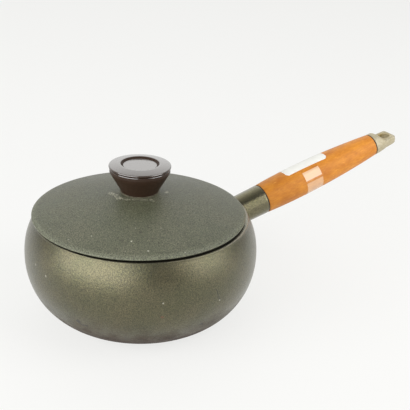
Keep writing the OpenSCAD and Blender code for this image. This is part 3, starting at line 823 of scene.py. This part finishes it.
def clear_tape():
    """Clear tape: the same wood seen through a very glossy film, with painted reflections in a cream colour: a pale
    strip where a softbox is reflected, and a fainter reflection of the floor on its lower part."""
    material, tree, shader = new_material("clear_tape", Roughness=0.08, IOR=1.5, Coat_Weight=0.4,
                                          Coat_Roughness=0.05)
    place = object_place(tree)
    wood = use_group(tree, WOOD, {"Vector": place})
    turn = handle_turn(tree, place)
    # Painted reflections: a softbox strip from 38 to 73 degrees round the handle, and a fainter floor reflection past
    # 84 degrees.
    painted_lamp_reflection = calculate(tree, "MULTIPLY", ramp(tree, turn, 38, 40), ramp(tree, turn, 71, 73, 1.0, 0.0))
    painted_reflection = calculate(tree, "MULTIPLY_ADD", painted_lamp_reflection, 0.55, third=ramp(tree, turn, 79, 84, 0.0, 0.36))
    wood_and_painted_reflection = mix(tree, painted_reflection, wood["Color"], (0.93, 0.74, 0.52, 1))
    ripple = noise(tree, place, 0.012, 2.0)
    join(tree, shader, Base_Color=wood_and_painted_reflection, Normal=bump(tree, ripple, 0.0001, 0.4))
    return material


def cast_aluminium():
    """Tarnished cast aluminium of the end cap: cream-grey with green-brown stains, darker brown round the hole that
    is partly tarnish and partly painted shade of the hole, and pits.
    """
    material, tree, shader = new_material("cast_aluminium", Metallic=0.3, Specular_IOR_Level=0.4)
    place = object_place(tree)
    stain = noise(tree, place, 0.006, 5.0, 0.65)
    pits = noise(tree, place, 0.0012, 3.0, 0.6)
    hole = ROOT + (CAP_FROM + CAP_LEN - HANG_IN - 1.5 * MM) * ALONG + FLAT_UP * UPWARD
    distance = put(tree, "ShaderNodeVectorMath", {0: place, 1: tuple(hole)}, operation="DISTANCE").outputs["Value"]
    # Brown round the hanging hole: partly tarnish, partly painted shade of the hole's inside.
    uneven = calculate(tree, "MULTIPLY_ADD", stain, 0.008, third=distance)
    tarnish_and_hole_shade = ramp(tree, uneven, 0.0075, 0.012, 0.85, 0.0)
    base = mix(tree, ramp(tree, stain, 0.4, 0.75, 0.0, 0.7), (0.50, 0.445, 0.315, 1), (0.38, 0.325, 0.185, 1))
    base = mix(tree, tarnish_and_hole_shade, base, (0.38, 0.28, 0.105, 1))
    pitted = mix(tree, ramp(tree, pits, 0.6, 0.75, 0.0, 0.5), base, (0.16, 0.13, 0.07, 1))
    join(tree, shader, Base_Color=pitted, Roughness=ramp(tree, stain, 0.3, 0.8, 0.45, 0.62),
         Normal=bump(tree, pits, 0.0003, 0.6))
    return material


def knob_resin(name, roughness, **sockets):
    """Dark brown moulded resin of the knob, with the faintest handling marks."""
    material, tree, shader = new_material(name, **sockets)
    place = object_place(tree)
    cloud = noise(tree, place, 0.01, 3.0)
    smear = noise(tree, place, 0.004, 3.0, 0.6)
    base = mix(tree, cloud, (0.027, 0.0145, 0.008, 1), (0.037, 0.020, 0.0115, 1))
    join(tree, shader, Base_Color=base, Roughness=ramp(tree, smear, 0.3, 0.8, roughness, roughness + 0.1),
         Normal=bump(tree, smear, 0.00004, 0.4))
    return material


def label_paper():
    """White label paper, bare, a little uneven and yellower at places."""
    material, tree, shader = new_material("label_paper", Roughness=0.55, Specular_IOR_Level=0.4)
    place = object_place(tree)
    cloud = noise(tree, place, 0.008, 3.0)
    fibre = noise(tree, place, 0.0004, 2.0)
    base = mix(tree, ramp(tree, cloud, 0.3, 0.8), (0.80, 0.80, 0.76, 1), (0.74, 0.735, 0.68, 1))
    join(tree, shader, Base_Color=base, Normal=bump(tree, fibre, 0.00003, 0.4))
    return material


def plain_finish(name, dark, light, size, roughness, metallic=0.0, depth=0.00004):
    """Finish of a hidden fitting: two shades in a fine cloud, with a matching roughness and bump."""
    material, tree, shader = new_material(name, Metallic=metallic)
    place = object_place(tree)
    cloud = noise(tree, place, size, 4.0, 0.6)
    base = mix(tree, ramp(tree, cloud, 0.3, 0.7), (*dark, 1), (*light, 1))
    join(tree, shader, Base_Color=base, Roughness=ramp(tree, cloud, 0.2, 0.8, roughness - 0.08, roughness + 0.1),
         Normal=bump(tree, cloud, depth, 0.5))
    return material


# Pieces

def make_pan(enamel, inner):
    """The cast pan, and the short boss that carries the handle's rod."""
    profile, outside = pan_profile()
    rows = np.where(np.arange(len(profile) - 1) < outside - 1, 0, 1)
    make_piece("pan", turned(profile), [enamel, inner], "pan", ["pan_body"], "pan_coating", rows)
    boss = line((THREAD_R, BOSS_FROM), (BOSS_BODY_R, BOSS_FROM), (BOSS_BODY_R, BOSS_TO), (THREAD_R, BOSS_TO),
                (THREAD_R, BOSS_FROM), steps=3)
    make_piece("handle_boss", turned_on_handle(tidy(boss)[:-1]), [enamel], "pan", ["pan_body"], "pan_coating",
               close_rows=True)


def make_ferrule(enamel):
    """The metal sleeve between pan and grip."""
    make_piece("ferrule", ferrule_points(), [enamel], "pan", ["handle_ferrule"], "ferrule_coating",
               close_rows=True)


def make_grip(wood):
    """The turned wooden grip."""
    make_piece("grip", turned_on_handle(grip_profile()), [wood], "pan", ["wooden_grip"], "oiled_wood",
               close_rows=True)


def make_cap(metal):
    """The cast end cap, with its hanging hole cut by a cylinder that flares at both flats."""
    cap = make_piece("cap", cap_points(), [metal], "pan", ["end_cap"], "cast_aluminium")
    flare = 0.9 * MM
    n = np.concatenate([[-FLAT_DOWN - 2 * MM], -FLAT_DOWN + flare * np.linspace(0, 1, 8),
                        FLAT_UP - flare * np.linspace(1, 0, 8), [FLAT_UP + 2 * MM]])
    near_flat = np.clip(np.maximum(n - (FLAT_UP - flare), -(n + FLAT_DOWN - flare)), 0, flare)
    radius = HANG_R + flare - np.sqrt(flare ** 2 - near_flat ** 2)
    angle = handle_angles(64)
    middle = ROOT + (CAP_FROM + CAP_LEN - HANG_IN) * ALONG
    rim = middle + n[:, None, None] * UPWARD + radius[:, None, None] * (
        np.cos(angle)[..., None] * ALONG + np.sin(angle)[..., None] * NEAR)
    ends = middle + n[[0, -1], None, None] * UPWARD + 0 * rim[:1]
    corners, faces, _ = surface(np.concatenate([ends[:1], rim, ends[1:]]))
    mesh = bpy.data.meshes.new("hanging_hole")
    mesh.from_pydata(corners.tolist(), [], outward(corners, faces))
    cutter = bpy.data.objects.new("hanging_hole", mesh)
    bpy.context.scene.collection.objects.link(cutter)
    cut = cap.modifiers.new("hanging hole", "BOOLEAN")
    cut.object, cut.operation, cut.solver = cutter, "DIFFERENCE", "EXACT"
    graph = bpy.context.evaluated_depsgraph_get()
    holed = bpy.data.meshes.new_from_object(cap.evaluated_get(graph))
    cap.modifiers.clear()
    cap.data = holed
    bpy.data.objects.remove(cutter)
    holed.polygons.foreach_set("use_smooth", np.ones(len(holed.polygons), dtype=bool))
    holed.set_sharp_from_angle(angle=math.radians(40))


def make_label(paper):
    """The bare paper label over the top of the grip."""
    label = make_piece("label", label_points(), [paper], "pan", ["paper_label"], "label_paper",
                       closed_skin=False, close_columns=False)
    thick = label.modifiers.new("paper", "SOLIDIFY")
    thick.thickness, thick.offset = PAPER_T, 1.0


def make_tape(film):
    """The clear tape round the grip."""
    make_piece("tape", tape_points(), [film], "pan", ["clear_tape"], "tape_film", close_rows=True)


def make_lid(enamel, inner):
    """The domed lid with its locating ring."""
    profile, outside = lid_profile()
    # The last outside rows, the lower half of the rounded edge, take the dark inside enamel as painted shade under
    # the lid's edge.
    rows = np.where(np.arange(len(profile)) < outside - 4, 0, 1)
    make_piece("lid", turned(profile, LID_X, LID_Y), [enamel, inner], "lid", ["lid_shell"], "lid_coating", rows,
               close_rows=True)


def make_knob(satin, polished):
    """The dished knob."""
    profile, shine = knob_profile()
    make_piece("knob", turned(profile, LID_X, LID_Y, 192), [satin, polished], "lid", ["lid_knob"], "knob_resin",
               shine, sharp=50)


def dress_node(name, material):
    """Gives a CAD node that stays its material."""
    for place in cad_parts[name].material_slots:
        place.material = material


# Studio

def make_camera():
    """Camera at the photograph's place: its position, turn and lens were fitted to the pan's outline."""
    camera = bpy.data.cameras.new("camera")
    camera.sensor_width = 36
    camera.lens = 74.12
    camera.clip_start, camera.clip_end = 0.05, 50
    right = Vector((0.8673, -0.4961, 0.04089))
    up = Vector((0.16654, 0.36659, 0.91536))
    back = right.cross(up)
    holder = bpy.data.objects.new("camera", camera)
    bpy.context.scene.collection.objects.link(holder)
    turn = Matrix((right, up, back)).transposed().to_4x4()
    holder.matrix_world = Matrix.Translation((-0.276585, -0.563439, 0.369882)) @ turn
    bpy.context.scene.camera = holder


def make_softbox(name, azimuth, elevation, distance, width, height, radiance):
    """Rectangular lamp that faces the pan from an azimuth (from +X) and elevation in degrees. Its face has the
    given radiance, where 1 is white: Cycles gives a lamp of that area a quarter of its energy per area."""
    lamp = bpy.data.lights.new(name, "AREA")
    lamp.shape = "RECTANGLE"
    lamp.size, lamp.size_y = width, height
    lamp.energy = 4 * radiance * width * height
    holder = bpy.data.objects.new(name, lamp)
    bpy.context.scene.collection.objects.link(holder)
    a, e = math.radians(azimuth), math.radians(elevation)
    towards = Vector((math.cos(a) * math.cos(e), math.sin(a) * math.cos(e), math.sin(e)))
    turn = towards.to_track_quat("Z", "Y").to_matrix().to_4x4()
    holder.matrix_world = Matrix.Translation(towards * distance) @ turn
    holder.visible_camera = False


def is_seen(tree, *kinds):
    """1 for rays of the given kinds, and 0 for the others."""
    path = put(tree, "ShaderNodeLightPath").outputs
    share = path[kinds[0]]
    for kind in kinds[1:]:
        share = calculate(tree, "MAXIMUM", share, path[kind])
    return share


def make_floor():
    """Pale floor. To the eye and in reflections most of it is a steady near-white, as in an evenly exposed studio
    photograph, and the rest takes the object's shadow."""
    material = bpy.data.materials.new("pale_floor")
    material.use_nodes = True
    tree = material.node_tree
    tree.nodes.clear()
    cloud = noise(tree, object_place(tree), 0.3, 2.0)
    paper = put(tree, "ShaderNodeBsdfDiffuse",
                {"Color": mix(tree, cloud, (0.905, 0.905, 0.89, 1), (0.895, 0.895, 0.88, 1))})
    steady = put(tree, "ShaderNodeEmission", {"Color": (0.95, 0.95, 0.935, 1)})
    seen = is_seen(tree, "Is Camera Ray", "Is Glossy Ray", "Is Transmission Ray")
    both = put(tree, "ShaderNodeMixShader", {0: calculate(tree, "MULTIPLY", seen, 0.78), 1: paper.outputs[0],
                                             2: steady.outputs[0]})
    put(tree, "ShaderNodeOutputMaterial", {"Surface": both.outputs[0]})
    half = 8.0
    mesh = bpy.data.meshes.new("floor")
    mesh.from_pydata([(-half, -half, 0), (half, -half, 0), (half, half, 0), (-half, half, 0)], [], [(0, 1, 2, 3)])
    mesh.materials.append(material)
    floor = bpy.data.objects.new("floor", mesh)
    bpy.context.scene.collection.objects.link(floor)


def make_world():
    """Dim room with a pale backdrop behind the pan, which fades with the angle c from its middle as
    exp(3.5 (cos c - 1)). Where the room itself is in view, it is an even near-white."""
    world = bpy.data.worlds.new("studio")
    bpy.context.scene.world = world
    world.use_nodes = True
    tree = world.node_tree
    tree.nodes.clear()
    a, e = math.radians(65), math.radians(34)
    middle = (math.cos(a) * math.cos(e), math.sin(a) * math.cos(e), math.sin(e))
    direction = put(tree, "ShaderNodeTexCoord").outputs["Generated"]
    cosine = put(tree, "ShaderNodeVectorMath", {0: direction, 1: middle}, operation="DOT_PRODUCT").outputs["Value"]
    fade = calculate(tree, "EXPONENT", calculate(tree, "MULTIPLY", calculate(tree, "SUBTRACT", cosine, 1.0), 3.5))
    room = put(tree, "ShaderNodeMath", {0: fade, 1: 1.35, 2: 0.12}, operation="MULTIPLY_ADD").outputs[0]
    seen = is_seen(tree, "Is Camera Ray", "Is Transmission Ray")
    strength = put(tree, "ShaderNodeMix", {0: seen, 2: room, 3: 0.95}).outputs[0]
    light = put(tree, "ShaderNodeBackground", {"Color": (1.0, 1.0, 0.985, 1), "Strength": strength})
    put(tree, "ShaderNodeOutputWorld", {"Surface": light.outputs[0]})


def make_studio():
    """Pale floor, dim room with a pale backdrop, and a large softbox at each side of the camera."""
    make_floor()
    make_world()
    make_softbox("softbox_left", 197, 22, 2.2, 3.3, 2.0, 2.85)
    make_softbox("softbox_right", 312, 29, 1.9, 1.45, 1.8, 2.15)


make_camera()
pan_coat = pan_enamel()
inner_coat_and_gap_shade = inside_enamel_and_gap_shade()
make_pan(pan_coat, inner_coat_and_gap_shade)
make_ferrule(ferrule_enamel())
make_grip(oiled_wood())
make_cap(cast_aluminium())
make_label(label_paper())
make_tape(clear_tape())
make_lid(lid_enamel(), inner_coat_and_gap_shade)
make_knob(knob_resin("satin_resin", 0.42, Specular_IOR_Level=0.22),
          knob_resin("polished_resin", 0.1, IOR=1.75, Coat_Weight=1.0, Coat_IOR=1.75, Coat_Roughness=0.08))

steel = plain_finish("plated_steel", (0.42, 0.42, 0.40), (0.62, 0.62, 0.60), 0.004, 0.3, metallic=1.0)
fibre = plain_finish("dark_fibre", (0.016, 0.010, 0.007), (0.040, 0.026, 0.018), 0.001, 0.75, depth=0.0002)
dress_node("tie_rod", steel)
dress_node("jam_nut", steel)
dress_node("knob_screw", steel)
dress_node("knob_screw_washer", steel)
dress_node("front_washer", fibre)
dress_node("rear_washer", fibre)
dress_node("knob_insert", plain_finish("turned_brass", (0.50, 0.34, 0.11), (0.72, 0.52, 0.20), 0.003, 0.3,
                                       metallic=1.0))
dress_node("knob_gasket", plain_finish("aged_gasket", (0.06, 0.05, 0.03), (0.17, 0.15, 0.10), 0.002, 0.7,
                                       depth=0.0002))
make_studio()
